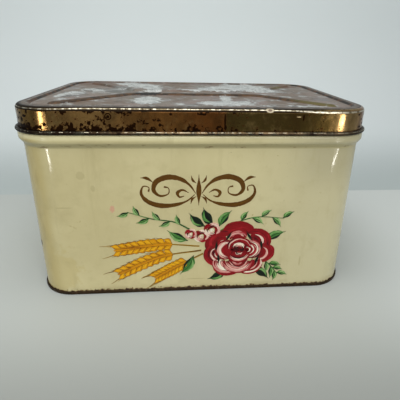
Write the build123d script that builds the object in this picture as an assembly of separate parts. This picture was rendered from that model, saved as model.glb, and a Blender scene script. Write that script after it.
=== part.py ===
"""A vintage tinplate bread box: two wraps locked together at the sides, a seamed base and a lift-off lid.

Frame: origin on the table at the middle of the base, +X to the right, +Y to the back, +Z up, millimetres.
Each wall is one thickness of tinplate, drawn once as the middle line of its section (outwards from the
wall's face, upwards) and carried round a rectangle with rounded corners.
"""

import os
from math import sqrt

from build123d import *

# Body, measured over the outside of the walls
body_width = 336.4
body_depth = 229.4
body_corner_radius = 35.5
sheet = 0.4  # tinplate thickness
fold_gap = 0.05  # left between two layers that are pressed together
fold_round = 0.4  # middle-line radius of a tight fold
hook_play = 0.3  # from the end of a hook to the fold that it sits in

# Base: the panel's edge is folded round the wall's foot in a double seam
seam_height = 3.6
floor_height = 4.6  # top of the floor panel
pad_inset = 24.0  # from the wall to the floor's raised pad
pad_slope = 3.0
pad_height = 1.2
pad_bend = 1.5

# Stop bead, on whose rounded top the lid rests
bead_foot = 162.2
bead_rise = 5.2
bead_out = 4.0  # how far the bead stands out from the wall
bead_face = 6.7  # from the top of the slope to the top of the bead
bead_foot_round = 3.0
bead_waist_round = 4.5
bead_edge_round = 2.1

# Neck, which the lid covers
neck_out = 1.0  # how far the neck stands out from the wall
neck_round = 0.8
neck_height = 18.1  # from the top of the bead to the mouth
hem_depth = 6.0  # the mouth's edge, folded inwards and pressed flat

# Lock seams that join the two wraps at the middle of each side
lock_half_width = 3.0
lock_step = 1.6  # length of the step from the wall's face down to the seam's innermost layer
lock_step_round = 0.3
lock_above_base = 4.4  # from the base seam to the lock seam
lock_below_bead = 5.4

# Lid: drawn in one piece, its edge rolled outwards round a steel wire
lid_clearance = 0.8  # from the neck to the inside of the skirt
lid_rest_gap = 0.2  # from the top of the bead up to the bottom of the rolled edge
lid_depth = 24.9  # from the bottom of the rolled edge to the top of the rim
curl_radius = 1.8
curl_end_angle = 128.0  # where the rolled edge stops, short of the skirt
wire_play = 0.1
crown_radius = 3.8  # rounded edge between skirt and rim
rim_fall = 0.7  # the rim slopes down outwards by this much
rim_width = 10.4  # from the skirt to the top of the rim's inner slope
rim_slope = 2.2
rim_round = 1.2
rim_tail = 1.0  # flat strip between the foot of the slope and the panel
panel_recess = 1.8  # the panel lies this far below the rim

# Two ribs pressed up in the lid's panel: side by side at the waist, then apart towards the corners
rib_width = 14.0
rib_height = 2.2
rib_waist_half_length = 72.0
rib_waist_half_gap = 18.0  # from the lid's middle to the middle of the rib
rib_end_side_inset = 36.4  # from the skirt at the short sides to the middle of the rib's domed end
rib_end_front_inset = 29.9  # the same from the skirt at the front and the back
rib_bend_radius = 30.0

# Sizes that follow
half_sheet = sheet / 2
layer = sheet + fold_gap  # from one layer's middle to the next
wall_line = -half_sheet
neck_line = wall_line + neck_out
skirt_line = neck_out + lid_clearance + half_sheet
bead_top = bead_foot + bead_rise + bead_face
mouth_top = bead_top + neck_height
lid_bottom = bead_top + lid_rest_gap
curl_centre = lid_bottom + curl_radius
lid_top = lid_bottom + lid_depth
panel_top = lid_top - panel_recess
skirt_half_width = body_width / 2 + skirt_line + half_sheet
skirt_half_depth = body_depth / 2 + skirt_line + half_sheet


def strip(points, radii):
    """The face of a sheet whose middle line runs through points, each corner bent to its radius."""
    return trace(FilletPolyline(*points, radius=radii), line_width=sheet)


def half_way(side):
    """The line of the walls round one half of the box: side -1 is the front half, +1 the back."""
    half_width = body_width / 2
    end = side * body_depth / 2
    corners = [(-half_width, 0), (-half_width, end), (half_width, end), (half_width, 0)]
    return FilletPolyline(*corners, radius=body_corner_radius)


def carry(profile, *sides):
    """Carries a section round the front half of the box, the back half or both."""
    start = Plane(origin=(-body_width / 2, 0, 0), x_dir=(-1, 0, 0), z_dir=(0, 1, 0))
    runs = [half_way(side).edges() for side in sides]
    return Part() + Solid.sweep((start * profile).face(), Wire(sum(runs[1:], runs[0])))


def plate(edge_out, low, thickness=sheet):
    """A flat plate whose rounded outline lies edge_out outside the line of the walls."""
    outline = RectangleRounded(
        body_width + 2 * edge_out, body_depth + 2 * edge_out, body_corner_radius + edge_out
    )
    return extrude(Pos(0, 0, low) * outline, amount=thickness)


def fold_back(line_from, line_to, turn_at, end_at):
    """Points of a sheet that turns back on itself: out along one line, home along another."""
    return [(line_from, turn_at), (line_to, turn_at), (line_to, end_at)]


# ---- body ----


def wall_section():
    """The wall, from its hook in the base seam, over the stop bead, to the hem at the mouth."""
    hook_line = wall_line + 2 * layer
    foot = half_sheet + layer
    hook_end = seam_height - sheet - hook_play
    bead_line = wall_line + bead_out
    ledge = bead_top - half_sheet
    hem_fold = mouth_top - half_sheet
    points = [
        (hook_line, hook_end),
        (hook_line, foot),
        (wall_line, foot),
        (wall_line, bead_foot),
        (bead_line, bead_foot + bead_rise),
        (bead_line, ledge),
        (neck_line, ledge),
        (neck_line, hem_fold),
        (neck_line - layer, hem_fold),
        (neck_line - layer, hem_fold - hem_depth),
    ]
    hem_round = 0.45 * layer
    radii = [fold_round, fold_round, bead_foot_round, bead_waist_round, bead_edge_round, neck_round]
    return strip(points, radii + [hem_round, hem_round])


def lock_strip(path_points, radii, hand):
    """A lock seam's folded sheet at one side of the box, from points (outwards, along Y)."""
    face = body_width / 2
    low = seam_height + lock_above_base
    high = bead_foot - lock_below_bead
    points = [(hand * (face + out), along) for out, along in path_points]
    return extrude(Pos(0, 0, low) * strip(points, radii), amount=high - low)


def front_wrap():
    """The front half of the body, whose side edges are folded inwards and hooked into the back's."""
    body = carry(wall_section(), -1)
    inner = wall_line - 2 * layer
    hook = [(wall_line, -fold_gap)] + fold_back(wall_line, inner, lock_half_width, hook_play - lock_half_width)
    for hand in (-1, 1):
        body += lock_strip(hook, [fold_round, fold_round], hand)
    return body


def back_wrap():
    """The back half of the body, which steps inwards behind the front's folded edge and hooks over it."""
    body = carry(wall_section(), 1)
    inner = wall_line - 3 * layer
    step_end = lock_half_width + sheet + fold_gap
    step_start = step_end + lock_step
    low = seam_height + lock_above_base - fold_gap
    high = bead_foot - lock_below_bead + fold_gap
    hook = [(wall_line, step_start + lock_step), (wall_line, step_start), (inner, step_end)]
    hook += fold_back(inner, wall_line - layer, -lock_half_width, lock_half_width - hook_play)
    radii = [lock_step_round, lock_step_round, fold_round, fold_round]
    for hand in (-1, 1):
        window = Box(4 * sheet, step_start + lock_step, high - low, align=(Align.CENTER, Align.MIN, Align.MIN))
        body -= Pos(hand * (body_width / 2 - half_sheet), 0, low) * window
        body += lock_strip(hook, radii, hand)
    return body


def base_panel():
    """The floor, whose edge goes down inside the wall, out under it and up round its hook."""
    inside = wall_line - layer
    outside = wall_line + 3 * layer
    cover_hook = wall_line + layer
    rim = half_sheet
    seam_top = seam_height - half_sheet
    floor = floor_height - half_sheet
    pad_start = -pad_inset
    points = [
        (cover_hook, 2 * layer + half_sheet + hook_play),
        (cover_hook, seam_top),
        (outside, seam_top),
        (outside, rim),
        (inside, rim),
        (inside, floor),
        (pad_start, floor),
        (pad_start - pad_slope, floor + pad_height),
        (pad_start - 2 * pad_slope, floor + pad_height),
    ]
    radii = [fold_round, fold_round, fold_round, fold_round, fold_round, pad_bend, pad_bend]
    profile = strip(points, radii)
    pad = plate(pad_start - 2 * pad_slope, floor_height - sheet + pad_height)
    return carry(profile, -1, 1) + pad


# ---- lid ----


def lid_section():
    """The lid's edge: rolled bead, skirt, rounded edge, rim and the start of the sunken panel."""
    middle_radius = curl_radius - half_sheet
    centre = (skirt_line + middle_radius, curl_centre)
    roll = CenterArc(centre, middle_radius, 180, 180 + curl_end_angle)
    top = lid_top - half_sheet
    sunk = panel_top - half_sheet
    slope_start = skirt_line - rim_width
    slope_end = slope_start - rim_slope
    points = [
        (skirt_line, curl_centre),
        (skirt_line, top - rim_fall),
        (slope_start, top),
        (slope_end, sunk),
        (slope_end - rim_tail, sunk),
    ]
    skin = FilletPolyline(*points, radius=[crown_radius, rim_round, rim_round])
    return trace([roll, skin], line_width=sheet)


def rib_profile(radius, drop, low):
    """Across a rib: an arch of this radius, its centre drop below the panel's top, cut off at low."""
    reach = sqrt(radius**2 - (low + drop) ** 2)
    arch = ThreePointArc((reach, low), (0, radius - drop), (-reach, low))
    return make_face(arch + Line((-reach, low), (reach, low)))


def rib_runs(radius, drop, low):
    """Both ribs, as solids of one profile with a dome at each end."""
    profile = rib_profile(radius, drop, low)
    half = profile & Rectangle(rib_width, 4 * radius, align=(Align.MIN, Align.CENTER))
    end_x = skirt_half_width - rib_end_side_inset
    end_y = skirt_half_depth - rib_end_front_inset
    waist_x, waist_y = rib_waist_half_length, rib_waist_half_gap
    points = [(-end_x, end_y), (-waist_x, waist_y), (waist_x, waist_y), (end_x, end_y)]
    points = [Vector(x, y, panel_top) for x, y in points]
    path = FilletPolyline(*points, radius=rib_bend_radius)
    along = (points[1] - points[0]).normalized()
    across = Plane(origin=points[0], x_dir=Vector(0, 0, 1).cross(along), z_dir=along)
    rib = Part() + Solid.sweep((across * profile).face(), Wire(path.edges()))
    for end in (points[0], points[3]):
        upright = Plane(origin=end, x_dir=(1, 0, 0), z_dir=(0, -1, 0))
        rib += revolve(upright * half, axis=Axis(end, (0, 0, 1)))
    return rib + mirror(rib, about=Plane.XZ)


def lid():
    """The lid in one piece, with its ribs pressed up from below."""
    radius = ((rib_width / 2) ** 2 + rib_height**2) / (2 * rib_height)
    drop = radius - rib_height
    panel = plate(skirt_line - rim_width - rim_slope - rim_tail, panel_top - sheet)
    panel += rib_runs(radius, drop, -half_sheet)
    panel -= rib_runs(radius - sheet, drop, -sheet)
    return carry(lid_section(), -1, 1) + panel


def lid_wire():
    """The steel wire inside the lid's rolled edge."""
    centre = (skirt_line + curl_radius - half_sheet, curl_centre)
    profile = Pos(*centre) * Circle(curl_radius - sheet - wire_play)
    return carry(profile, -1, 1)


pieces = {
    "front_wrap": front_wrap,
    "back_wrap": back_wrap,
    "base_panel": base_panel,
    "lid": lid,
    "lid_wire": lid_wire,
}

os.makedirs("parts", exist_ok=True)
for name, make in pieces.items():
    export_step(make(), os.path.join("parts", name + ".step"))
    print("made", name)
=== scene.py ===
import math
import random

import bmesh
import bpy
from mathutils import Matrix, Vector, noise


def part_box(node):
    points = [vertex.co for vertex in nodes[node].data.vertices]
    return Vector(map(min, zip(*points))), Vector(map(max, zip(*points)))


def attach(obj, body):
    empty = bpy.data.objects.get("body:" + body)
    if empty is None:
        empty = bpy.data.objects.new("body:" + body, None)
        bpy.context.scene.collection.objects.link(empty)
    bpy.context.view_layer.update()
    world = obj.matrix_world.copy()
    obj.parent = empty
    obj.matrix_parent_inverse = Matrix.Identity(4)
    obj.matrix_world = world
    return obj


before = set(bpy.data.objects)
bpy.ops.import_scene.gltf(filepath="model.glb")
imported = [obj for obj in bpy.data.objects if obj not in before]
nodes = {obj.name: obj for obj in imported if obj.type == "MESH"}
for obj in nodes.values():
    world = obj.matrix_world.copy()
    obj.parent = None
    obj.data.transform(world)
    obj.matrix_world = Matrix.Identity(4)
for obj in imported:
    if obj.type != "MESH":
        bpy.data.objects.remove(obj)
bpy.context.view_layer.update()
lidLow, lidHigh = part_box("lid")
wallHalfWidth = 168.2  # mm to the outside of the walls, here and below
wallHalfDepth = 114.7
cornerRadius = 35.5
skirtOut = 2.2  # the lid's skirt, out from the walls
seamTop = 3.6  # top of the base seam
beadFoot = 162.2  # where the stop bead starts to rise
ribHeight = 2.2  # the ribs are the highest part of the lid
panelRecess = 1.8  # from the rim down to the panel
lidFoot = lidLow.z * 1000
panelTop = lidHigh.z * 1000 - ribHeight
lidTop = panelTop + panelRecess


def linear(hexColour):  # an sRGB hex colour as linear RGBA
    parts = [int(hexColour[i:i + 2], 16) / 255 for i in (1, 3, 5)]
    return [p / 12.92 if p <= 0.04045 else ((p + 0.055) / 1.055) ** 2.4 for p in parts] + [1.0]


def add(tree, kind, inputs=None, **settings):  # adds a node with its settings and links
    node = tree.nodes.new(kind)
    for name, value in settings.items():
        setattr(node, name, value)
    for key, value in (inputs or {}).items():
        if isinstance(value, bpy.types.Node):
            value = next(socket for socket in value.outputs if socket.enabled)
        if isinstance(value, bpy.types.NodeSocket):
            tree.links.new(value, node.inputs[key])
        else:
            node.inputs[key].default_value = linear(value) if isinstance(value, str) else value
    return node


def startMaterial(name):  # an empty tree, with places in mm and normals that stay with the piece
    material = bpy.data.materials.new(name)
    material.use_nodes = True
    tree = material.node_tree
    tree.nodes.clear()
    coordinates = add(tree, "ShaderNodeTexCoord")
    place = add(tree, "ShaderNodeVectorMath", {0: coordinates.outputs["Object"], "Scale": 1000},
                operation="SCALE")
    return material, tree, place, coordinates.outputs["Normal"]


def finishMaterial(tree, look):  # a look is a colour, a metallic share, a roughness and perhaps a bump
    links = {"Base Color": look["colour"], "Metallic": look["metallic"], "Roughness": look["roughness"]}
    if "mirror" in look:
        links["Specular IOR Level"] = look["mirror"]
    if "height" in look:  # mm
        links["Normal"] = add(tree, "ShaderNodeBump",
                              {"Height": look["height"], "Distance": 0.001, "Strength": 1.0})
    add(tree, "ShaderNodeOutputMaterial", {"Surface": add(tree, "ShaderNodeBsdfPrincipled", links)})


def coat(tree, look, mask, **over):  # lays another finish over a look, where the mask is
    result = dict(look)
    for channel, value in over.items():
        kind, under, upper = ("RGBA", 6, 7) if channel == "colour" else ("FLOAT", 2, 3)
        inputs = {0: mask, under: look.get(channel, 0.0), upper: value}
        result[channel] = add(tree, "ShaderNodeMix", inputs, data_type=kind)
    return result


def joined(tree, operation, parts):
    result = parts[0]
    for part in parts[1:]:
        result = add(tree, "ShaderNodeMath", {0: result, 1: part}, operation=operation)
    return result


def allOf(tree, *masks):  # a mask that is full where each of these is
    return joined(tree, "MULTIPLY", masks)


def anyOf(tree, *masks):  # a mask that is as full as the fullest of these
    return joined(tree, "MAXIMUM", masks)


def sumOf(tree, *parts):
    return joined(tree, "ADD", parts)


def blend(tree, value, start, full, most=1.0):  # a mask that grows from start to full
    inputs = {"Value": value, "From Min": start, "From Max": full, "To Min": 0.0, "To Max": most}
    return add(tree, "ShaderNodeMapRange", inputs, interpolation_type="SMOOTHSTEP")


def band(tree, value, low, high, soft):  # a mask that is full from low to high
    return allOf(tree, blend(tree, value, low - soft, low), blend(tree, value, high + soft, high))


def shifted(tree, place, seed, stretch=(1, 1, 1)):  # places moved, so that each seed has its own pattern
    inputs = {"Vector": place, "Location": (seed * 7.3, seed * 3.1, seed * 5.7), "Scale": stretch}
    return add(tree, "ShaderNodeMapping", inputs)


# a mask of cloudy noise, in blots about sizeMm across
def blotches(tree, place, sizeMm, start, full, seed=0.0, detail=4.0, stretch=(1, 1, 1), most=1.0, warp=0.0):
    moved = shifted(tree, place, seed, stretch)
    inputs = {"Vector": moved, "Scale": 1 / sizeMm, "Detail": detail, "Roughness": 0.6, "Distortion": warp}
    cloud = add(tree, "ShaderNodeTexNoise", inputs).outputs["Fac"]
    return blend(tree, cloud, start, full, most)


def dots(tree, place, sizeMm, start, full, seed=0.0):  # round spots, one to a cell, with wavering edges
    moved = shifted(tree, place, seed)
    cells = add(tree, "ShaderNodeTexVoronoi", {"Vector": moved, "Scale": 1 / sizeMm}).outputs["Distance"]
    waver = blotches(tree, place, 0.5 * sizeMm, 0.0, 1.0, seed, most=0.3 * start)
    return blend(tree, sumOf(tree, cells, waver), start, full)


def patch(tree, place, centre, reach, ragged=0.5, seed=0.0):  # an oval patch with a torn edge
    inputs = {"Vector": place, "Location": [-c / r / 2 for c, r in zip(centre, reach)],
              "Scale": [1 / r / 2 for r in reach]}
    oval = add(tree, "ShaderNodeMapping", inputs)
    near = add(tree, "ShaderNodeTexGradient", {"Vector": oval}, gradient_type="SPHERICAL").outputs["Fac"]
    torn = blotches(tree, place, 0.45 * min(reach), 0.2, 0.8, seed, most=ragged / 2)
    near = add(tree, "ShaderNodeMath", {0: near, 1: torn}, operation="SUBTRACT")
    return blend(tree, near, 0.5 - 0.25 * ragged, 0.625 - 0.25 * ragged)


def shell(tree, place, normal):  # how far outwards a face looks, and mm out from the corners' centres
    core = (wallHalfWidth - cornerRadius, wallHalfDepth - cornerRadius, 1000)
    size = add(tree, "ShaderNodeVectorMath", {0: place}, operation="ABSOLUTE")
    beyond = add(tree, "ShaderNodeVectorMath", {0: size, 1: core}, operation="SUBTRACT")
    beyond = add(tree, "ShaderNodeVectorMath", {0: beyond, 1: (0, 0, 0)}, operation="MAXIMUM")
    sides = add(tree, "ShaderNodeVectorMath", {0: place}, operation="SIGN")
    outwards = add(tree, "ShaderNodeVectorMath", {0: beyond, 1: sides}, operation="MULTIPLY")
    outwards = add(tree, "ShaderNodeVectorMath", {0: outwards}, operation="NORMALIZE")
    facing = add(tree, "ShaderNodeVectorMath", {0: outwards, 1: normal}, operation="DOT_PRODUCT")
    reach = add(tree, "ShaderNodeVectorMath", {0: beyond}, operation="LENGTH")
    return facing, reach


# the camera: its place in metres, its turns in degrees
view = {"place": (-0.01335, -0.43635, 0.25266), "turnRight": 5.62, "tiltDown": 21.11, "roll": 1.49,
        "lens": 31.85, "sensor": 36, "shiftX": -0.0415, "shiftY": -0.047, "nearest": 0.01}


def makeCamera():
    data = bpy.data.cameras.new("camera")
    data.lens = view["lens"]
    data.sensor_width = view["sensor"]
    data.shift_x = view["shiftX"]
    data.shift_y = view["shiftY"]
    data.clip_start = view["nearest"]
    camera = bpy.data.objects.new("camera", data)
    turn = (Matrix.Rotation(math.radians(-view["turnRight"]), 4, "Z")
            @ Matrix.Rotation(math.radians(90 - view["tiltDown"]), 4, "X")
            @ Matrix.Rotation(math.radians(view["roll"]), 4, "Z"))
    camera.matrix_world = Matrix.Translation(view["place"]) @ turn
    bpy.context.scene.collection.objects.link(camera)
    bpy.context.scene.camera = camera


makeCamera()
scene = bpy.context.scene
scene.view_settings.view_transform = "Standard"

# Matt studio paper, without gloss: sizes in metres, and the stretches over which its colour changes in mm
stageLook = {"reachFront": -2.0, "reachBack": 0.9, "reachSide": 2.2, "wallHeight": 2.0,
             "sweepRadius": 0.35, "sweepSteps": 12,
             "floor": "#b0b4af", "floorRightLight": "#c0c4c0", "rightStretch": (130, 300),
             "floorFrontShade": "#878a85", "frontStretch": (-122, -300),
             "wallFootShade": "#a9b1af", "footStretch": (158, 162), "wall": "#dee4e3", "wallStretch": (162, 658)}


def makeStage():
    s = stageLook
    profile = [(s["reachFront"], 0.0), (s["reachBack"] - s["sweepRadius"], 0.0)]
    for step in range(1, s["sweepSteps"] + 1):
        angle = math.radians(90 * step / s["sweepSteps"])
        profile.append((s["reachBack"] - s["sweepRadius"] * (1 - math.sin(angle)),
                        s["sweepRadius"] * (1 - math.cos(angle))))
    profile.append((s["reachBack"], s["wallHeight"]))
    points = [(side * s["reachSide"], y, z) for y, z in profile for side in (-1, 1)]
    faces = [(2 * i, 2 * i + 1, 2 * i + 3, 2 * i + 2) for i in range(len(profile) - 1)]
    mesh = bpy.data.meshes.new("studioSweep")
    mesh.from_pydata(points, [], faces)
    for face in mesh.polygons:
        face.use_smooth = True
    sweep = bpy.data.objects.new("studioSweep", mesh)
    scene.collection.objects.link(sweep)
    material, tree, place, _ = startMaterial("matt studio paper")
    depth = add(tree, "ShaderNodeSeparateXYZ", {0: place}).outputs["Y"]
    across = add(tree, "ShaderNodeSeparateXYZ", {0: place}).outputs["X"]
    look = {"colour": linear(s["floor"]), "metallic": 0.0, "roughness": 0.9}
    # painted light: the floor lighter towards the right; painted shade: the floor darker towards the front,
    # and the wall darker near its foot where it meets the floor
    look = coat(tree, look, blend(tree, across, *s["rightStretch"]), colour=s["floorRightLight"])
    look = coat(tree, look, blend(tree, depth, *s["frontStretch"]), colour=s["floorFrontShade"])
    look = coat(tree, look, blend(tree, depth, *s["footStretch"]), colour=s["wallFootShade"])
    look = coat(tree, look, blend(tree, depth, *s["wallStretch"]), colour=s["wall"])
    finishMaterial(tree, look)
    mesh.materials.append(material)


# soft lamps: places and sizes in metres, rolls in degrees
lampRig = {
    "overhead": {"place": (-0.15, -0.25, 1.15), "aim": (0, 0, 0.1), "size": (1.3, 0.9), "watts": 10.5,
                 "colour": "#ffffff"},
    "front": {"place": (0.25, -1.35, 0.62), "aim": (0, 0, 0.1), "size": (1.2, 0.7), "watts": 9.2,
              "colour": "#ffffff"},
    "leftCard": {"place": (-0.338, -0.388, 0.13), "aim": (-0.138, -0.116, 0.188), "roll": 6,
                 "size": (0.05, 0.06), "watts": 0.24, "colour": "#fffcf4"},
    "leftLowCard": {"place": (-0.322, -0.387, 0.059), "aim": (-0.136, -0.115, 0.152), "roll": 42,
                    "size": (0.022, 0.044), "watts": 0.065, "colour": "#fffcf4"},
    "rightCard": {"place": (0.312, -0.397, 0.123), "aim": (0.135, -0.117, 0.186), "roll": -66,
                  "size": (0.034, 0.09), "watts": 0.12, "colour": "#fff8e8"},
    "rightLowCard": {"place": (0.322, -0.386, 0.062), "aim": (0.135, -0.115, 0.152), "roll": -60,
                     "size": (0.008, 0.1), "watts": 0.068, "colour": "#fffcf4"},
}
roomGlow = {"colour": "#e4e9ec", "strength": 0.44}


def makeLamps():
    for name, lamp in lampRig.items():
        data = bpy.data.lights.new(name, "AREA")
        data.shape = "RECTANGLE"
        data.size, data.size_y = lamp["size"]
        data.energy = lamp["watts"]
        data.color = linear(lamp["colour"])[:3]
        light = bpy.data.objects.new(name, data)
        place = Vector(lamp["place"])
        aim = (Vector(lamp["aim"]) - place).to_track_quat("-Z", "Y")
        roll = Matrix.Rotation(math.radians(lamp.get("roll", 0)), 4, "Z")
        light.matrix_world = Matrix.Translation(place) @ aim.to_matrix().to_4x4() @ roll
        light.visible_camera = False
        light.visible_diffuse = "Card" not in name  # the cards only show in what is glossy
        scene.collection.objects.link(light)
    world = bpy.data.worlds.new("softRoom")
    world.use_nodes = True
    tree = world.node_tree
    tree.nodes.clear()
    glow = add(tree, "ShaderNodeBackground", {"Color": roomGlow["colour"], "Strength": roomGlow["strength"]})
    add(tree, "ShaderNodeOutputWorld", {"Surface": glow.outputs[0]})
    scene.world = world


makeStage()
makeLamps()
print("stage and light are set")

bareTin = {"colour": "#b0ada4", "metallic": 1.0, "roughness": 0.42}
dullTin = {"colour": "#918c80", "roughness": 0.55}
rust = {"colour": "#3b2415", "metallic": 0.0, "roughness": 0.85}


# Aged tinplate: steel with a skin of tin gone dull, so it is grey and cloudy, with freckles of rust
def agedTinplate(tree, place):
    dull = blotches(tree, place, 35, 0.35, 0.65, seed=3)
    look = coat(tree, bareTin, dull, **dullTin)
    freckles = allOf(tree, blotches(tree, place, 2.2, 0.6, 0.7, seed=5),
                     blotches(tree, place, 30, 0.45, 0.6, seed=6))
    look = coat(tree, look, freckles, **rust)
    wavy = blotches(tree, place, 18, 0.0, 1.0, seed=8, most=0.12)
    return dict(look, height=wavy)


# Cream enamel stoved on tinplate: a warm, slightly glossy skin, cloudy with age, chipped to rust at its edges
enamelLook = {"cream": "#d0c596", "aged": "#c5b98a", "greyer": "#c3bb95", "beadHighlight": "#e0d6a8",
              "greyed": "#ada583", "dirty": "#a3966a", "stain": "#9d8a55", "spot": "#6b5a3a",
              "yellowed": "#bfae74", "rosy": "#cf9a80", "beadFoot": "#aca277", "beadGrime": "#75633a",
              "bare": "#2c2016", "chipEdge": "#7a5c30", "roughness": 0.1,
              # marks: centre and half size each way, in mm
              "corner": ((-150, -110, 22), (34, 30, 34)),
              "smudge": ((-84, -wallHalfDepth, 99.5), (2.6, 6, 4.2)),
              "nick": ((-162.8, -98, 55), (2.6, 3.2, 3.8)),
              # faint stains on the front: centre x, z, half width, half height in mm, how much
              "stains": [(-110.6, 134.6, 4.4, 4.6, 0.35), (-100.3, 121.4, 2.4, 3.6, 0.35),
                         (-130, 101.4, 9, 0.6, 0.5), (-2, 14.4, 12, 0.6, 0.6),
                         (112, 33, 1.0, 7, 0.5), (60, 62, 3, 2.4, 0.3)]}


def creamEnamel():
    e = enamelLook
    material, tree, place, normal = startMaterial("cream enamel stoved on tinplate")
    facing, _ = shell(tree, place, normal)
    height = add(tree, "ShaderNodeSeparateXYZ", {0: place}).outputs["Z"]
    look = {"colour": linear(e["cream"]), "metallic": 0.0, "roughness": e["roughness"]}
    look = coat(tree, look, blotches(tree, place, 70, 0.3, 0.7, seed=1), colour=e["aged"])
    across = add(tree, "ShaderNodeSeparateXYZ", {0: place}).outputs["X"]
    look = coat(tree, look, blend(tree, across, 10, 150), colour=e["greyer"])
    leftEnd = allOf(tree, blend(tree, across, -138, -152),
                    blotches(tree, place, 40, 0.2, 0.6, seed=21, stretch=(1, 1, 0.4)))
    look = coat(tree, look, leftEnd, colour=e["yellowed"])
    runs = allOf(tree, blend(tree, across, -146, -154, 0.3),
                 blotches(tree, place, 8, 0.5, 0.68, seed=24, stretch=(1, 1, 0.35)))
    look = coat(tree, look, runs, colour=e["stain"])
    # a painted highlight along the top of the stop bead, stronger to the left
    beadHighlight = blend(tree, height, beadFoot + 6, beadFoot + 9)
    look = coat(tree, look, allOf(tree, beadHighlight, blend(tree, across, 60, -40)), colour=e["beadHighlight"])
    topRight = allOf(tree, blend(tree, across, 80, 130), blend(tree, height, 105, 150, 0.8))
    look = coat(tree, look, topRight, colour=e["greyed"])
    corner = patch(tree, place, *e["corner"], ragged=0.9, seed=22)
    look = coat(tree, look, allOf(tree, corner, 0.5), colour=e["yellowed"])
    look = coat(tree, look, blotches(tree, place, 16, 0.45, 0.85, seed=2, most=0.3), colour=e["dirty"],
                roughness=0.32)
    streaks = blotches(tree, place, 9, 0.55, 0.8, seed=4, stretch=(1, 1, 0.12), most=0.25)
    look = coat(tree, look, streaks, colour=e["dirty"])
    spill = allOf(tree, blotches(tree, place, 4.5, 0.62, 0.76, seed=9, most=0.7),
                  blotches(tree, place, 38, 0.52, 0.64, seed=10))
    look = coat(tree, look, spill, colour=e["stain"])
    for x, z, wide, high, amount in e["stains"]:
        stain = patch(tree, place, (x, -wallHalfDepth, z), (wide, 9, high), ragged=0.35, seed=x)
        look = coat(tree, look, allOf(tree, stain, amount), colour=e["dirty"])
    low = blend(tree, height, 12, 3)
    foot = allOf(tree, low, blotches(tree, place, 10, 0.35, 0.8, seed=12, stretch=(0.4, 0.4, 1)))
    look = coat(tree, look, foot, colour=e["dirty"])
    # painted shade in a band under the stop bead, with blotches of grime over it
    under = band(tree, height, beadFoot - 0.5, beadFoot + 3, 1.4)
    look = coat(tree, look, under, colour=e["beadFoot"], roughness=0.3)
    grimy = allOf(tree, under, blotches(tree, place, 5, 0.55, 0.72, seed=13, stretch=(0.5, 0.5, 1.2)))
    look = coat(tree, look, grimy, colour=e["beadGrime"], roughness=0.6)
    specks = allOf(tree, blotches(tree, place, 1.6, 0.71, 0.76, seed=14, detail=1),
                   blotches(tree, place, 30, 0.56, 0.66, seed=15))
    look = coat(tree, look, allOf(tree, specks, 0.6), colour=e["spot"], roughness=0.5)
    smudge = patch(tree, place, *e["smudge"], ragged=0.7, seed=17)
    look = coat(tree, look, allOf(tree, smudge, 0.8), colour=e["rosy"])
    nick = patch(tree, place, *e["nick"], ragged=0.3, seed=23)
    look = coat(tree, look, nick, colour=e["bare"], roughness=0.7)
    # chips: rust creeping up from the seam, and along the bead and the mouth
    chips = blotches(tree, place, 3.4, 0.0, 1.0, seed=19, detail=5)
    base = sumOf(tree, blend(tree, height, 7, seamTop - 1, 0.33), blend(tree, across, 0, -120, 0.03))
    creep = anyOf(tree, base, blend(tree, height, 184, 191, 0.4))
    spread = sumOf(tree, chips, creep)
    nearEdge = blend(tree, creep, 0.03, 0.1)
    chipped = allOf(tree, nearEdge, blend(tree, spread, 0.8, 0.84))
    ringed = allOf(tree, nearEdge, blend(tree, spread, 0.66, 0.8))
    look = coat(tree, look, ringed, colour=e["chipEdge"])
    look = coat(tree, look, chipped, **rust)
    bumps = blotches(tree, place, 30, 0.0, 1.0, seed=20, detail=2, most=0.28)
    bumps = add(tree, "ShaderNodeMath", {0: bumps, 1: allOf(tree, chipped, 0.05)}, operation="SUBTRACT")
    look["height"] = bumps
    inside = agedTinplate(tree, place)
    look = coat(tree, look, blend(tree, facing, 0.1, 0.0), **inside)
    finishMaterial(tree, look)
    return material


# Rusted tinplate, folded in a double seam: matt dark brown scale, worn to the tin in spots
seamLook = {"scale": "#382b1b", "brown": "#4d3826", "black": "#241a10", "worn": "#8d8271"}


def rustedSeam():
    material, tree, place, normal = startMaterial("rusted tinplate seam")
    _, reach = shell(tree, place, normal)
    look = {"colour": linear(seamLook["scale"]), "metallic": 0.85, "roughness": 0.6}
    look = coat(tree, look, blotches(tree, place, 5, 0.45, 0.7, seed=31), colour=seamLook["brown"],
                roughness=0.7)
    look = coat(tree, look, blotches(tree, place, 14, 0.5, 0.75, seed=32), colour=seamLook["black"])
    worn = allOf(tree, blotches(tree, place, 2.2, 0.62, 0.7, seed=33),
                 blotches(tree, place, 26, 0.5, 0.6, seed=34))
    look = coat(tree, look, worn, colour=seamLook["worn"], metallic=0.8, roughness=0.4)
    look["height"] = blotches(tree, place, 1.6, 0.2, 0.9, seed=35, most=0.12)
    inside = agedTinplate(tree, place)
    look = coat(tree, look, blend(tree, reach, cornerRadius - 0.7, cornerRadius - 0.9), **inside)
    finishMaterial(tree, look)
    return material


# Drawn steel wire: dull grey with rust
wireLook = {"steel": "#6a6560", "roughness": 0.45}


def steelWire():
    material, tree, place, _ = startMaterial("drawn steel wire")
    look = {"colour": linear(wireLook["steel"]), "metallic": 1.0, "roughness": wireLook["roughness"]}
    look = coat(tree, look, blotches(tree, place, 4, 0.45, 0.65, seed=41), **rust)
    finishMaterial(tree, look)
    return material


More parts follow.
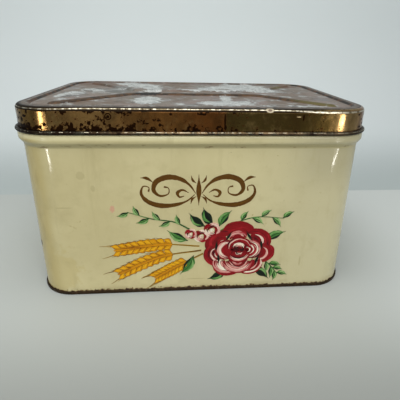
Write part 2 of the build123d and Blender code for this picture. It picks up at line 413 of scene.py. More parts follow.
# Gold lacquer on tinplate: a mirror seen through brown varnish, spotted with rust, and rubbed off the top
skirtLook = {
    "left": "#745a36", "tan": "#aa8350", "middle": "#885c30", "copper": "#784a24", "right": "#584725",
    "rightEndSheen": "#c9a673", "corner": "#a67850", "leftCornerSheen": "#b08950", "leftSide": "#5b3b20",
    "shade": "#3a2915", "pale": "#a88c5c", "rust": "#1d0f06", "rustEdge": "#422812", "scuffed": "#a89572",
    "roughness": 0.17,
    # rust marks on the front: centre x, z, half width, half height in mm
    "marks": [(24.5, 187.5, 1.0, 8.5), (25, 181.5, 1.5, 3.0), (98, 191, 1.1, 3.8), (3.3, 193.6, 5.0, 1.1),
              (-46, 184.8, 2.0, 0.8), (-3.9, 181, 1.7, 1.5), (-34.6, 183.6, 1.8, 1.8), (-112, 183, 1.9, 3.4),
              (-121, 181, 2.4, 3.0), (-104, 179.5, 2.4, 1.6), (-78, 179.5, 1.6, 1.8), (-61, 182, 1.2, 2.6)],
    # rust spots round the front corners: the same, with y
    "cornerSpots": [(160, -106, 188, 1.4, 1.3), (163, -103, 183.5, 1.8, 1.5), (158, -107, 181, 2.0, 1.2),
                    (155, -109, 193, 1.6, 1.0), (165, -99, 192, 1.5, 1.4), (-153.5, -110, 190, 2.6, 1.5),
                    (-157, -107, 186.5, 1.6, 2.4), (-149.5, -112, 183.5, 2.2, 1.6),
                    (-144, -114, 180, 3.4, 1.8), (-158.5, -105, 192, 1.6, 1.2),
                    (-139, -115, 181.5, 2.0, 1.4)],
    "ring": (-80, -116.9, 191), "ringReach": 3.0,
    # a scuff, and a place with less rust: centre and half size each way, in mm
    "scuff": ((93.5, -116.9, 191.8), (2.4, 5, 0.7)), "clear": ((-136, -115, 190), (6, 12, 6))}


def lacquerSkirt(tree, place, across, height):
    s = skirtLook
    look = {"colour": linear(s["left"]), "metallic": 1.0, "roughness": s["roughness"]}
    # the colour drifts across the front from tan through copper to olive, partly the lacquer's own patina and
    # partly painted reflection of the room; lighter by both front corners, a painted sheen round their
    # highlights
    shift = blotches(tree, place, 50, 0.2, 0.8, seed=51, most=30)
    drift = sumOf(tree, across, shift)
    look = coat(tree, look, blend(tree, drift, -125, -100), colour=s["tan"])
    look = coat(tree, look, blend(tree, drift, -85, -30), colour=s["middle"])
    look = coat(tree, look, blend(tree, drift, -15, 25), colour=s["copper"])
    look = coat(tree, look, blend(tree, across, 23, 27), colour=s["right"])
    look = coat(tree, look, blend(tree, drift, 128, 152), colour=s["rightEndSheen"])
    look = coat(tree, look, blend(tree, across, 150, 160), colour=s["corner"])
    look = coat(tree, look, blend(tree, across, -141, -150), colour=s["leftCornerSheen"])
    look = coat(tree, look, blend(tree, across, -161, -167, 0.8), colour=s["leftSide"], metallic=0.5)
    look = coat(tree, look, blotches(tree, place, 24, 0.4, 0.75, seed=52, detail=3, most=0.5),
                colour=s["shade"])
    look = coat(tree, look, blotches(tree, place, 11, 0.5, 0.8, seed=53, detail=6, most=0.5),
                colour=s["pale"])
    haze = blotches(tree, place, 6, 0.4, 0.75, seed=54, detail=7, stretch=(1, 1, 0.3), most=0.45)
    look = coat(tree, look, haze, colour=s["shade"], roughness=0.3)
    look = coat(tree, look, blotches(tree, place, 1.7, 0.5, 0.8, seed=55, detail=3, most=0.4),
                colour=s["shade"])
    # rust: spots and runs, thick along the lower edge and at the left, few at the right
    grain = blotches(tree, place, 4.5, 0.15, 0.85, seed=56, detail=5)
    fewer = sumOf(tree, blend(tree, across, 70, 0, 0.55), 0.45)
    fromFoot = allOf(tree, blend(tree, height, lidFoot + 12, lidFoot + 2.6, 0.36), fewer)
    fromCrown = blend(tree, height, lidTop - 8, lidTop - 4.5, 0.13)
    leftSide = blend(tree, across, 40, -120, 0.19)
    spread = sumOf(tree, grain, fromFoot, fromCrown, leftSide)
    fine = allOf(tree, dots(tree, place, 2.6, 0.24, 0.16, seed=59),
                 blotches(tree, place, 18, 0.5, 0.62, seed=60))
    clear = patch(tree, place, *s["clear"], ragged=0.3, seed=57)
    spread = add(tree, "ShaderNodeMath", {0: spread, 1: allOf(tree, clear, 0.35)}, operation="SUBTRACT")
    rusty = anyOf(tree, blend(tree, spread, 0.86, 0.91), fine)
    spots = [(x, -wallHalfDepth - skirtOut, z, wide, high) for x, z, wide, high in s["marks"]]
    spots += s["cornerSpots"]
    for x, y, z, wide, high in spots:
        rusty = anyOf(tree, rusty, patch(tree, place, (x, y, z), (wide, 5, high), ragged=0.45, seed=x))
    ring = s["ringReach"]
    offset = add(tree, "ShaderNodeVectorMath", {0: place, 1: s["ring"]}, operation="SUBTRACT")
    radius = add(tree, "ShaderNodeVectorMath", {0: offset}, operation="LENGTH").outputs["Value"]
    rusty = anyOf(tree, rusty, band(tree, radius, ring * 0.74, ring, 0.4), blend(tree, radius, 1.6, 1.1))
    look = coat(tree, look, blend(tree, spread, 0.74, 0.88, 0.75), colour=s["rustEdge"], roughness=0.4)
    look = coat(tree, look, rusty, colour=s["rust"], roughness=0.6)
    scuff = patch(tree, place, *s["scuff"], ragged=0.5, seed=61)
    look = coat(tree, look, scuff, colour=s["scuffed"], roughness=0.5)
    return look


topLook = {
    "field": "#74675b", "rosy": "#826e64", "olive": "#6a6450", "blueGrey": "#6f7074", "brown": "#67523f",
    "slate": "#585852", "tin": "#c6c8c4", "greyTin": "#8f908e", "pale": "#a39c93", "dirt": "#39322b",
    "crack": "#54504c", "black": "#15120f", "ginger": "#5e3f2a", "ribBrown": "#573b1f", "ribDark": "#261a0e",
    "ribRight": "#5f5429", "rim": "#57493d", "rimDark": "#1f1811", "rimPale": "#a8a39d",
    # where it is rubbed down to the tin: centre x, y, half length, half width in mm, how much
    "rubbed": [(-88, 90, 20, 18, 0.85), (-68, 72, 24, 26, 1.0), (-54, 46, 14, 32, 1.0),
               (-49, 16, 11, 16, 0.9), (68, 66, 36, 46, 1.0), (84, 32, 26, 22, 0.9), (22, 21, 64, 9, 0.9),
               (24, 50, 20, 30, 0.55), (-50, -60, 15, 32, 0.8), (30, -76, 34, 18, 1.0),
               (33, -42, 8, 20, 0.85), (-138, -26, 15, 36, 0.45), (-122, 16, 18, 16, 0.5),
               (90, -92, 40, 7, 0.35), (118, 40, 14, 40, 0.25)],
    # where brown varnish is left: the same
    "varnished": [(-22, 74, 23, 36, 0.95), (-18, -48, 15, 28, 0.8), (52, -32, 13, 20, 0.85),
                  (96, -62, 22, 28, 0.7), (-136, 62, 26, 24, 0.8), (-100, -78, 34, 20, 0.95),
                  (122, 0, 22, 60, 0.75), (-150, -86, 16, 16, 0.6)],
    # stains: centre and half size each way, in mm
    "slateStain": ((-90, 22, panelTop), (17, 44, 60)), "blackStain": ((-54, -18, panelTop), (17, 9, 8)),
    "leftStain": ((-132, 82, panelTop), (30, 15, 40)), "rightStain": ((130, 80, panelTop), (25, 15, 40))}


def fields(tree, place, patches, seed):  # a mask of all these patches on the top
    result = None
    for number, (x, y, halfLength, halfWidth, amount) in enumerate(patches):
        field = patch(tree, place, (x, y, panelTop), (halfLength, halfWidth, 60), seed=seed + number,
                      ragged=0.6)
        field = allOf(tree, field, amount)
        result = field if result is None else anyOf(tree, result, field)
    return result


def lacquerTop(tree, place, across, height, front, facing, reach):
    t = topLook
    top = {"colour": linear(t["field"]), "metallic": 0.35, "roughness": 0.48}
    top = coat(tree, top, blotches(tree, place, 44, 0.4, 0.6, seed=61, most=0.8), colour=t["rosy"])
    top = coat(tree, top, blotches(tree, place, 34, 0.5, 0.68, seed=62, most=0.5), colour=t["blueGrey"])
    top = coat(tree, top, blotches(tree, place, 27, 0.54, 0.7, seed=63, most=0.7), colour=t["olive"])
    brown = allOf(tree, fields(tree, place, t["varnished"], 90),
                  blotches(tree, place, 11, 0.2, 0.5, seed=64, detail=5))
    top = coat(tree, top, brown, colour=t["brown"])
    top = coat(tree, top, blotches(tree, place, 10, 0.5, 0.74, seed=65, detail=6, most=0.6), colour=t["dirt"])
    top = coat(tree, top, blotches(tree, place, 5, 0.54, 0.78, seed=66, detail=5, most=0.5), colour=t["pale"])
    slate = patch(tree, place, *t["slateStain"], ragged=0.8, seed=97)
    top = coat(tree, top, allOf(tree, slate, 0.7), colour=t["slate"])
    scuffed = fields(tree, place, t["rubbed"], 70)
    cloud = blotches(tree, place, 16, 0.0, 1.0, seed=67, detail=10, warp=0.5)
    cover = sumOf(tree, cloud, allOf(tree, scuffed, 0.55))
    worn = blend(tree, cover, 0.64, 0.74)
    tin = dict(top, colour=linear(t["greyTin"]), metallic=0.5, roughness=0.5)
    tin = coat(tree, tin, blotches(tree, place, 9, 0.3, 0.6, seed=68, detail=9, warp=0.3), colour=t["tin"])
    tin = coat(tree, tin, blotches(tree, place, 3.2, 0.6, 0.68, seed=69, detail=5), colour=t["crack"],
               metallic=0.2)
    top = coat(tree, top, blend(tree, cover, 0.5, 0.66, 0.5), colour=t["greyTin"])
    cracks = allOf(tree, band(tree, cover, 0.61, 0.66, 0.03),
                   blotches(tree, place, 12, 0.42, 0.52, seed=99, most=0.8),
                   blend(tree, scuffed, 0.05, 0.2))
    top = coat(tree, top, worn, **tin)
    top = coat(tree, top, cracks, colour=t["dirt"])
    # ribs: brown on their slopes that face the front
    raised = allOf(tree, blend(tree, height, panelTop + 0.1, panelTop + 0.4), blend(tree, reach, 26, 25))
    kept = add(tree, "ShaderNodeMath", {0: 1.0, 1: allOf(tree, worn, 0.45)}, operation="SUBTRACT")
    depth = add(tree, "ShaderNodeSeparateXYZ", {0: place}).outputs["Y"]
    ahead = add(tree, "ShaderNodeMath", {0: 1.0, 1: blend(tree, depth, 0, 4)}, operation="SUBTRACT")
    arms = blend(tree, add(tree, "ShaderNodeMath", {0: across}, operation="ABSOLUTE"), 96, 112)
    kept = allOf(tree, kept, anyOf(tree, arms, ahead))  # the rear rib keeps it on its arms only
    slope = allOf(tree, raised, kept, blend(tree, front, 0.05, -0.06),
                  blotches(tree, place, 18, 0.1, 0.35, seed=73))
    rib = dict(top, colour=linear(t["ribBrown"]), roughness=0.5)
    rib = coat(tree, rib, blotches(tree, place, 7, 0.4, 0.62, seed=72), colour=t["ribDark"])
    rib = coat(tree, rib, blend(tree, across, 95, 120), colour=t["ribRight"])
    top = coat(tree, top, slope, **rib)
    black = patch(tree, place, *t["blackStain"], ragged=0.6, seed=74)
    top = coat(tree, top, black, colour=t["black"], metallic=0.0, roughness=0.7)
    stain = patch(tree, place, *t["leftStain"], ragged=0.4, seed=75)
    stain = anyOf(tree, stain, patch(tree, place, *t["rightStain"], ragged=0.4, seed=76))
    top = coat(tree, top, allOf(tree, stain, 0.9), colour=t["ginger"])
    # rim: darker, its inner slope ginger and grimy at the sides, rubbed pale in places
    inward = allOf(tree, band(tree, reach, 24.6, 27.4, 0.3), blend(tree, facing, -0.03, -0.12),
                   blotches(tree, place, 20, 0.1, 0.35, seed=98))
    atSides = blend(tree, add(tree, "ShaderNodeMath", {0: across}, operation="ABSOLUTE"), 142, 150)
    slopes = dict(top, colour=linear(t["ginger"]), roughness=0.55)
    slopes = coat(tree, slopes, blotches(tree, place, 11, 0.38, 0.55, seed=77), colour=t["rimDark"])
    top = coat(tree, top, allOf(tree, inward, anyOf(tree, atSides, 0.45)), **slopes)
    top = coat(tree, top, blotches(tree, place, 2.4, 0.56, 0.7, seed=100, detail=3, most=0.6),
               colour=t["dirt"])
    rim = blend(tree, reach, 26.8, 27.6)
    top = coat(tree, top, allOf(tree, rim, blotches(tree, place, 12, 0.25, 0.55, seed=78, detail=5)),
               colour=t["rim"])
    top = coat(tree, top, allOf(tree, rim, blotches(tree, place, 5, 0.52, 0.66, seed=79, detail=5)),
               colour=t["rimDark"])
    rubbed = allOf(tree, rim, blotches(tree, place, 6, 0.56, 0.66, seed=80, detail=5),
                   blend(tree, across, 40, -120, 0.9))
    top = coat(tree, top, rubbed, colour=t["rimPale"], metallic=0.8, roughness=0.4)
    top = coat(tree, top, blend(tree, reach, 32, 33.4, 0.9), colour=t["rimDark"])
    specks = allOf(tree, blotches(tree, place, 1.8, 0.64, 0.7, seed=81),
                   blotches(tree, place, 24, 0.45, 0.6, seed=82))
    return coat(tree, top, specks, **rust)


# on the crown: grime also makes a painted dark reflection under the bright line, and the worn and rubbed
# colours make a painted highlight on worn metal
crownLook = {"grime": "#21170c", "worn": "#7b7058", "rubbed": "#d4ccb6", "roughness": 0.3,
             # a chip: its colours, its centre and half size each way in mm, and its core's half size
             "chip": "#b8ab90", "core": "#6d5a48", "chipPlace": (66, -115, 197.4), "chipReach": (4.1, 8, 2.3),
             "coreReach": (2.2, 8, 1.1)}
# on the rolled edge: dark also makes painted shade on its underside, and shine is a painted highlight on worn
# metal
curlLook = {"left": "#211406", "middle": "#806a4c", "right": "#5f503c", "dark": "#1c120a", "shine": "#c4baa2",
            "grime": "#3d3d33"}


def goldLacquer():
    material, tree, place, normal = startMaterial("gold lacquer on tinplate")
    facing, reach = shell(tree, place, normal)
    spot = add(tree, "ShaderNodeSeparateXYZ", {0: place}).outputs
    across, height = spot["X"], spot["Z"]
    up = add(tree, "ShaderNodeSeparateXYZ", {0: normal}).outputs["Z"]
    front = add(tree, "ShaderNodeSeparateXYZ", {0: normal}).outputs["Y"]
    look = lacquerSkirt(tree, place, across, height)

    # crown: a bright line of worn metal, laid in a thin band by how far each face tips up so that it is also
    # a painted highlight, worn through at the left; round it the crown is darkened, with grime above the line
    # and a painted dark reflection below it
    c = crownLook
    crown = blend(tree, height, lidTop - 4.2, lidTop - 3.6)
    look = coat(tree, look, allOf(tree, crown, blend(tree, across, 122, 98)), colour=c["grime"], metallic=0.9,
                roughness=0.6)
    lift = add(tree, "ShaderNodeMath", {0: up, 1: blend(tree, across, -135, -95, 0.17)}, operation="SUBTRACT")
    lift = sumOf(tree, lift, blend(tree, across, 50, 150, 0.33))
    whole = sumOf(tree, blotches(tree, place, 3.6, 0.0, 1.0, seed=84, detail=6),
                  blend(tree, across, -60, 130, 0.14))
    wide = sumOf(tree, lift, blend(tree, across, 80, 125, 0.25))
    edge = allOf(tree, crown, blend(tree, wide, 0.42, 0.5), blend(tree, lift, 0.68, 0.6),
                 blend(tree, whole, 0.3, 0.42))
    look = coat(tree, look, edge, colour=c["worn"], metallic=1.0, roughness=c["roughness"])
    look = coat(tree, look, allOf(tree, edge, blend(tree, whole, 0.52, 0.64)), colour=c["rubbed"])
    chip = patch(tree, place, c["chipPlace"], c["chipReach"], ragged=0.2, seed=85)
    look = coat(tree, look, chip, colour=c["chip"], metallic=0.2, roughness=0.5)
    core = patch(tree, place, c["chipPlace"], c["coreReach"], ragged=0.3, seed=86)
    look = coat(tree, look, core, colour=c["core"])

    top = lacquerTop(tree, place, across, height, front, facing, reach)
    onTop = anyOf(tree, blend(tree, up, 0.975, 0.992),
                  allOf(tree, blend(tree, reach, 33, 31), blend(tree, up, 0.3, 0.4)))
    look = coat(tree, look, onTop, **top)

    # rolled edge: brown rust, darker towards its underside as painted shade, with bright spots of worn metal
    # along its top laid as a painted highlight
    u = curlLook
    curl = {"colour": linear(u["left"]), "metallic": 0.9, "roughness": 0.45}
    curl = coat(tree, curl, blend(tree, across, -110, -30), colour=u["middle"])
    curl = coat(tree, curl, blend(tree, across, 0, 140), colour=u["right"])
    curl = coat(tree, curl, blend(tree, up, 0.4, 0.1, 0.6), colour=u["dark"])
    curl = coat(tree, curl, blotches(tree, place, 6, 0.42, 0.62, seed=86), colour=u["dark"])
    curl = coat(tree, curl, blotches(tree, place, 11, 0.5, 0.66, seed=87, most=0.7), colour=u["grime"])
    shine = sumOf(tree, blotches(tree, place, 2.8, 0.0, 1.0, seed=88, detail=6),
                  blend(tree, across, -150, 0, 0.06))
    shine = allOf(tree, band(tree, up, 0.55, 0.66, 0.07), blend(tree, shine, 0.54, 0.62))
    curl = coat(tree, curl, shine, colour=u["shine"], metallic=1.0, roughness=0.3)
    look = coat(tree, look, blend(tree, reach, cornerRadius + skirtOut + 0.3, cornerRadius + skirtOut + 0.5),
                **curl)

    waves = blotches(tree, place, 30, 0.0, 1.0, seed=89, detail=2, most=0.35)
    waves = sumOf(tree, waves, blotches(tree, place, 5, 0.0, 1.0, seed=90, most=0.05))
    look["height"] = waves
    inner = anyOf(tree, allOf(tree, blend(tree, facing, 0.1, 0.0), blend(tree, up, 0.4, 0.3)),
                  blend(tree, up, -0.8, -0.9))
    outside = cornerRadius + skirtOut
    inner = allOf(tree, inner, blend(tree, reach, outside + 0.4, outside + 0.2))
    look = coat(tree, look, inner, **agedTinplate(tree, place))
    finishMaterial(tree, look)
    return material


def dress(node, material):
    nodes[node].data.materials.clear()
    nodes[node].data.materials.append(material)


enamel = creamEnamel()
dress("front_wrap", enamel)
dress("back_wrap", enamel)
dress("base_panel", rustedSeam())
dress("lid", goldLacquer())
dress("lid_wire", steelWire())
print("finishes are on")


# dark, middle and pale shade of each paint
pigments = {
    "sepia": ("#432700", "#573500", "#6d4806"),
    "crimson": ("#2e0208", "#80030d", "#b2202a"),
    "rose": ("#a82f38", "#d8a093", "#ece4cc"),
    "amber": ("#824602", "#cc8804", "#e6ac14"),
    "straw": ("#5e3c06", "#94701c", "#c4a452"),
    "leafGreen": ("#16401c", "#447a34", "#8cb06c"),
    "darkGreen": ("#050a05", "#0d1e0e", "#1c3a1a"),
}
# mm: paint under the first stroke, each stroke over the last, from point to point, and how its edges waver
film = {"first": 0.02, "step": 0.0014, "spacing": 1.4, "waver": 0.13, "waverLength": 3}
painted = {name: {"points": [], "faces": [], "brush": []} for name in pigments}
brushMarks = []  # the paint of each mark, in the order they are laid on
hand = random.Random(11)  # the painter's hand is never quite even


def smoothPath(points):  # a smooth line through the points, as (place, how far along)
    ends = [2 * points[0] - points[1], *points, 2 * points[-1] - points[-2]]
    path = []
    for i in range(1, len(ends) - 2):
        a, b, c, d = ends[i - 1:i + 3]
        steps = max(2, round((c - b).length / film["spacing"]))
        for t in (s / steps for s in range(steps)):
            place = 0.5 * (2 * b + (c - a) * t + (2 * a - 5 * b + 4 * c - d) * t**2
                           + (3 * b - a - 3 * c + d) * t**3)
            path.append((place, (i - 1 + t) / (len(points) - 1)))
    return path + [(points[-1], 1.0)]


def stroke(pigment, points, widths, tone=0.5):  # one brush mark: points (x, z) and widths along it, in mm
    mark = painted[pigment]
    brushMarks.append(pigment)
    back = -wallHalfDepth
    front = back - film["first"] - film["step"] * len(brushMarks)
    path = smoothPath([Vector(p) for p in points])
    first, run, seed = len(mark["points"]), 0.0, 31.0 * len(brushMarks)
    for k, (place, along) in enumerate(path):
        before, after = path[max(k - 1, 0)][0], path[min(k + 1, len(path) - 1)][0]
        way = (after - before).normalized()
        side = Vector((-way.y, way.x))
        at = along * (len(widths) - 1)
        i = min(int(at), len(widths) - 2)
        ease = (1 - math.cos(math.pi * (at - i))) / 2
        half = 0.5 * (widths[i] + (widths[i + 1] - widths[i]) * ease)
        half *= 1 + film["waver"] * noise.noise(Vector((run / film["waverLength"], seed, 0)))
        run += (place - path[max(k - 1, 0)][0]).length
        for across, y in ((half, front), (-half, front), (-half, back), (half, back)):
            edge = place + side * across
            mark["points"].append((edge.x / 1000, y / 1000, edge.y / 1000))
            mark["brush"].append((across, run + seed, tone))
    ring = range(first, len(mark["points"]), 4)
    for a, b in zip(ring, ring[1:]):
        mark["faces"] += [(a + i, a + (i + 1) % 4, b + (i + 1) % 4, b + i) for i in range(4)]
    mark["faces"] += [tuple(ring[0] + i for i in range(4)), tuple(ring[-1] + i for i in (3, 2, 1, 0))]


# a pen flourish where such boxes have their lettering: each mark is points (x, z) and widths along it, in mm
scroll = {
    "middle": 1, "foot": 101,
    "arms": [([(3, 14), (9, 23), (18, 29.5), (30, 31.5), (41, 27), (44, 18), (38, 12), (30, 14), (29.5, 20),
               (34, 21.5)],
              [0.8, 2.2, 4.4, 5.6, 5.2, 4.0, 2.4, 1.3, 0.9, 2.0]),
             ([(4, 13), (12, 6), (24, 2), (38, 1.5), (50, 6), (56, 14), (54, 22), (48.5, 21), (49, 16.5)],
              [0.8, 1.8, 4.0, 5.4, 4.6, 2.8, 1.4, 0.9, 1.8]),
             ([(10, 15), (16, 18), (21, 15), (19, 10.5), (14.5, 11.5)], [0.7, 2.2, 3.4, 2.0, 0.9]),
             ([(44, 26), (50, 30.5), (56, 31)], [0.6, 3.2, 0.5])],
    "spear": ([(0, 1), (0, 17), (0, 34)], [0.5, 5.2, 0.5]),
    "tips": [([(2.5, 25), (6, 28), (7.5, 33)], [0.5, 2.4, 0.4]),
             ([(2.5, 11), (6.5, 8), (8, 3)], [0.5, 2.4, 0.4])]}


def mirrored(points, widths, ways=(-1, 1)):  # the same mark at both sides of the middle
    for way in ways:
        stroke("sepia", [(scroll["middle"] + way * x, scroll["foot"] + z) for x, z in points], widths)


def paintScroll():
    for arm in scroll["arms"]:
        mirrored(*arm)
    mirrored(*scroll["spear"], ways=(1,))
    for tip in scroll["tips"]:
        mirrored(*tip)


def around(centre, angle, reach, squeeze=1.0):  # a place at an angle and distance from a centre
    return centre[0] + reach * math.cos(angle), centre[1] + reach * math.sin(angle) * squeeze


# a peony: petals as (facing in degrees, mm out from the centre, reach, degrees to each side, marks)
peony = {"centre": (44, 49), "squeeze": 0.86,
         "petals": [(95, 15, 22, 80, 8), (38, 17, 19, 78, 7), (150, 17, 20, 78, 7), (350, 20, 17, 80, 7),
                    (192, 19, 18, 80, 7), (300, 19, 18, 76, 7), (238, 19, 19, 76, 8), (268, 12, 20, 84, 8),
                    (175, 7, 17, 88, 8), (5, 8, 16, 88, 8), (90, 3, 14, 90, 7), (270, 1, 15, 84, 7)],
         "ground": ([(30, 46), (44, 48), (58, 46)], [10, 30, 10]),
         # dark marks between the petals, as (facing, mm out, turn), and where those of the heart start
         "shades": [(62, 22, 60), (120, 23, -60), (205, 24, 70), (322, 25, -70), (18, 25, 80),
                    (165, 25, -80)],
         "heart": [75, 195, 330]}


def paintPetal(facing, out, reach, half, marks):  # crescents nested from the rim inwards, in a loose hand
    root = around(peony["centre"], math.radians(facing), out, peony["squeeze"])
    for k in range(marks):
        share = 1.0 - 0.86 * k / marks + 0.05 * (hand.random() - 0.5)
        swing = facing + 26 * (hand.random() - 0.5)
        spread = half * (0.62 + 0.4 * hand.random())
        lean = 0.12 * (hand.random() - 0.5)
        arc = [around(root, math.radians(swing + spread * s), reach * share * (1 + lean * s - 0.06 * s * s),
                      peony["squeeze"]) for s in (-1, -0.5, 0, 0.5, 1)]
        pale = k > 0 and hand.random() < 0.5
        wide = reach * (0.11 + 0.1 * hand.random()) * (0.8 if pale else 1.25)
        widths = [0.3, wide * (0.5 + 0.5 * hand.random()), wide, wide * (0.4 + 0.6 * hand.random()), 0.3]
        stroke("rose" if pale else "crimson", arc, widths, 0.15 + (0.85 if pale else 0.5) * hand.random())


def paintPeony():  # a full bloom in the manner of painted tinware
    stroke("crimson", *peony["ground"], 0.1)
    for facing, out, reach, half, marks in peony["petals"]:
        root = around(peony["centre"], math.radians(facing), out, peony["squeeze"])
        for share, wide in ((0.1, 0.5), (0.4, 0.7), (0.78, 0.5)):  # the petal's ground
            arc = [around(root, math.radians(facing + half * s), reach * share, peony["squeeze"])
                   for s in (-1, -0.5, 0, 0.5, 1)]
            stroke("crimson", arc, [0.5, reach * wide * 0.9, reach * wide, reach * wide * 0.9, 0.5], 0.3)
        paintPetal(facing, out, reach, half, marks)
    for facing, out, turn in peony["shades"]:
        foot = around(peony["centre"], math.radians(facing), out, peony["squeeze"])
        shade = [around(foot, math.radians(facing + turn), s, 1) for s in (-7, 0, 7)]
        stroke("darkGreen", shade, [0.3, 2.6, 0.3], 0.1)
    for facing in peony["heart"]:
        heart = [around(peony["centre"], math.radians(facing + a), 3 + a / 25, peony["squeeze"])
                 for a in (0, 50, 100)]
        stroke("darkGreen", heart, [0.3, 1.4, 0.3], 0.0)


# wheat ears: points along each stem, then the sizes of an ear in mm, with its lean in degrees
ears = [((2, 55), (-38, 58), (-86, 52)), ((4, 50), (-40, 43), (-84, 23)), ((6, 46), (-18, 33), (-46, 17))]
ear = {"start": 0.34, "pairs": 9, "length": 12, "width": 6.2, "lean": 26, "awn": 10,
       "bulkAt": (0.34, 0.5, 0.7, 0.88, 1), "bulk": [3, 12, 12, 9, 2]}


def paintEar(points):  # a wheat ear: two rows of plump grains, each with its bristle
    stem = smoothPath([Vector(p) for p in points])
    stroke("straw", points, [1.8, 1.5, 0.9], 0.2)
    bulk = [stem[int(share * (len(stem) - 1))][0] for share in ear["bulkAt"]]
    stroke("amber", bulk, ear["bulk"], 0.3)
    marks = []
    for k in range(ear["pairs"]):
        share = ear["start"] + (1 - ear["start"]) * k / ear["pairs"]
        at = min(int(share * (len(stem) - 1)), len(stem) - 2)
        way = (stem[at + 1][0] - stem[at][0]).normalized()
        size = 1 - 0.25 * abs(k / ear["pairs"] - 0.4)
        for side in (-1, 1):
            turn = Matrix.Rotation(math.radians(side * ear["lean"]), 2) @ way
            foot = stem[at][0] + Vector((-way.y, way.x)) * side * 1.2
            marks.append((foot, turn, way, side, size))
    for foot, turn, way, _, size in marks:
        tip = foot + turn * ear["length"] * size
        end = tip + (turn * 0.45 + way).normalized() * ear["awn"] * (0.8 + 0.3 * hand.random())
        stroke("straw", [tip - turn * 2, tip + (end - tip) * 0.5, end], [1.0, 0.6, 0.3], 0.2)
    for foot, turn, _, side, size in reversed(marks):
        tip = foot + turn * ear["length"] * size
        belly = (foot + tip) / 2 + Vector((-turn.y, turn.x)) * side * 0.9
        wide = ear["width"] * size
        stroke("sepia", [foot, belly, tip], [0.6, wide * 1.12, 0.5], 0.6)
        stroke("amber", [foot + turn * 0.4, belly, tip - turn * 0.5], [0.4, wide * 0.96, 0.4],
               0.4 + 0.35 * hand.random())
        stroke("amber", [foot + turn * 2.5, belly + turn * 0.6, tip - turn * 2.5],
               [0.3, wide * 0.34, 0.3], 1.0)


roses = [((4, 67), 7.6), ((15, 74), 8.4), ((-7, 70), 6.0)]  # centre and radius in mm


def paintRosebud(centre, radius):  # small pink rosettes, wound from the middle
    for k, turn in enumerate((20, 95, 170, 245, 310)):
        arc = [around(centre, math.radians(turn + a), radius * (0.92 - 0.03 * k), 0.9)
               for a in (0, 35, 70, 105)]
        stroke("crimson" if k % 2 else "rose", arc, [0.6, radius * 0.42, radius * 0.36, 0.6],
               0.3 + 0.5 * hand.random())
    for k, turn in enumerate((60, 180, 300)):
        arc = [around(centre, math.radians(turn + a), radius * 0.52, 0.9) for a in (0, 45, 90, 130)]
        stroke("rose" if k % 2 else "crimson", arc, [0.5, radius * 0.36, radius * 0.3, 0.5],
               0.2 + 0.6 * hand.random())
    heart = [around(centre, math.radians(a), radius * 0.2, 0.9) for a in (0, 120, 240, 340)]
    stroke("rose", heart, [0.8, radius * 0.26, 0.6], 0.9)
    for k in range(3):
        line = [around(centre, math.radians(100 * k + 40 + a), radius * (0.7 - 0.1 * k), 0.9)
                for a in (0, 40, 75)]
        stroke("crimson", line, [0.3, 0.9, 0.3], 0.0)


leafBow = 0.12  # how far a leaf bends, as a share of its length


def paintLeaf(pigment, foot, tip, width, tone):  # a broad mark, a lighter half and a dark rib
    foot, tip = Vector(foot), Vector(tip)
    along = tip - foot
    side = Vector((-along.y, along.x)) * leafBow
    stroke(pigment, [foot, foot + along * 0.5 + side, tip], [0.5, width, width * 0.8, 0.3], tone)
    stroke("darkGreen", [foot, foot + along * 0.5 - side * 0.6, tip - along * 0.15],
           [0.4, width * 0.34, 0.2], 0.5)
    stroke("leafGreen", [foot + along * 0.1, foot + along * 0.5 + side * 1.9, tip - along * 0.04],
           [0.3, width * 0.36, 0.3], min(1.0, tone + 0.5))
    stroke("darkGreen", [foot, foot + along * 0.5 + side * 0.9, tip + along * 0.06], [0.6, 0.5, 0.2], 0.3)


sprays = [  # points along each stem, and the tone of its leaves
    {"stem": [(22, 72), (40, 82), (62, 88), (90, 86)], "tone": 0.45},
    {"stem": [(-6, 74), (-24, 84), (-46, 88), (-70, 96)], "tone": 0.55},
    {"stem": [(70, 38), (80, 28), (88, 18)], "tone": 0.35},
]
leafShares = (0.22, 0.38, 0.53, 0.68, 0.83, 0.99)  # along a stem
# foot, tip, width and tone
broadLeaves = [((16, 80), (6, 99), 9, 0.0), ((22, 78), (34, 95), 7.5, 0.25), ((8, 78), (-8, 93), 7, 0.2),
               ((-10, 62), (-30, 74), 7, 0.45), ((-4, 44), (-18, 22), 7.5, 0.3), ((30, 24), (12, 14), 8, 0.1),
               ((60, 26), (78, 12), 8, 0.15), ((72, 60), (92, 70), 8, 0.3)]


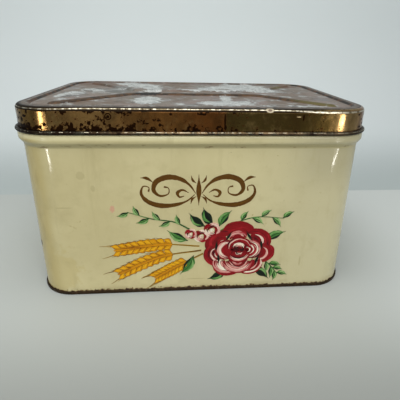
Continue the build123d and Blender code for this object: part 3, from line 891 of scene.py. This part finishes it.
def paintGreenery():
    for foot, tip, width, tone in broadLeaves:
        paintLeaf("darkGreen" if tone < 0.22 else "leafGreen", foot, tip, width, tone)
    for spray in sprays:
        stem = smoothPath([Vector(p) for p in spray["stem"]])
        stroke("leafGreen", spray["stem"], [1.5, 1.0, 0.5], 0.1)
        for k, share in enumerate(leafShares):
            at = min(int(share * (len(stem) - 1)), len(stem) - 2)
            way = (stem[at + 1][0] - stem[at][0]).normalized()
            turn = Matrix.Rotation(math.radians(38 if k % 2 else -42), 2) @ way
            foot = stem[at][0]
            paintLeaf("leafGreen", foot, foot + turn * (11 + 4 * hand.random()), 4.8,
                      spray["tone"] + 0.3 * hand.random())


# Oil colours brushed on in thin coats: the bristles leave streaks of the darker and paler shade
def brushedPaint(name, shades):
    material, tree, place, _ = startMaterial("brushed oil colour, " + name)
    brush = add(tree, "ShaderNodeAttribute", attribute_name="brush").outputs["Vector"]
    tone = add(tree, "ShaderNodeSeparateXYZ", {0: brush}).outputs["Z"]
    streak = blotches(tree, brush, 1.5, 0.28, 0.72, stretch=(1, 0.07, 0), detail=3)
    cloudy = blotches(tree, place, 7, 0.3, 0.7, seed=90)
    mixed = add(tree, "ShaderNodeMath", {0: streak, 1: 0.55, 2: tone}, operation="MULTIPLY_ADD")
    mixed = add(tree, "ShaderNodeMath", {0: cloudy, 1: 0.2, 2: mixed}, operation="MULTIPLY_ADD")
    look = {"colour": linear(shades[0]), "metallic": 0.0, "roughness": 0.38, "mirror": 0.25}
    look = coat(tree, look, blend(tree, mixed, 0.3, 0.75), colour=shades[1])
    look = coat(tree, look, blend(tree, mixed, 0.85, 1.4), colour=shades[2])
    look["height"] = blotches(tree, brush, 0.6, 0.2, 0.8, stretch=(1, 0.07, 0), most=0.03)
    finishMaterial(tree, look)
    return material


def makePaint():
    for name, mark in painted.items():
        mesh = bpy.data.meshes.new("paint_" + name)
        mesh.from_pydata(mark["points"], [], mark["faces"])
        brush = mesh.attributes.new("brush", "FLOAT_VECTOR", "POINT")
        brush.data.foreach_set("vector", [value for place in mark["brush"] for value in place])
        shape = bmesh.new()
        shape.from_mesh(mesh)
        bmesh.ops.recalc_face_normals(shape, faces=shape.faces)
        shape.to_mesh(mesh)
        shape.free()
        piece = bpy.data.objects.new("paint_" + name, mesh)
        scene.collection.objects.link(piece)
        mesh.materials.append(brushedPaint(name, pigments[name]))
        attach(piece, "body")


paintScroll()
for points in ears:
    paintEar(points)
paintGreenery()
paintPeony()
for centre, radius in roses:
    paintRosebud(centre, radius)
makePaint()
print("the front is painted with", len(brushMarks), "brush marks")
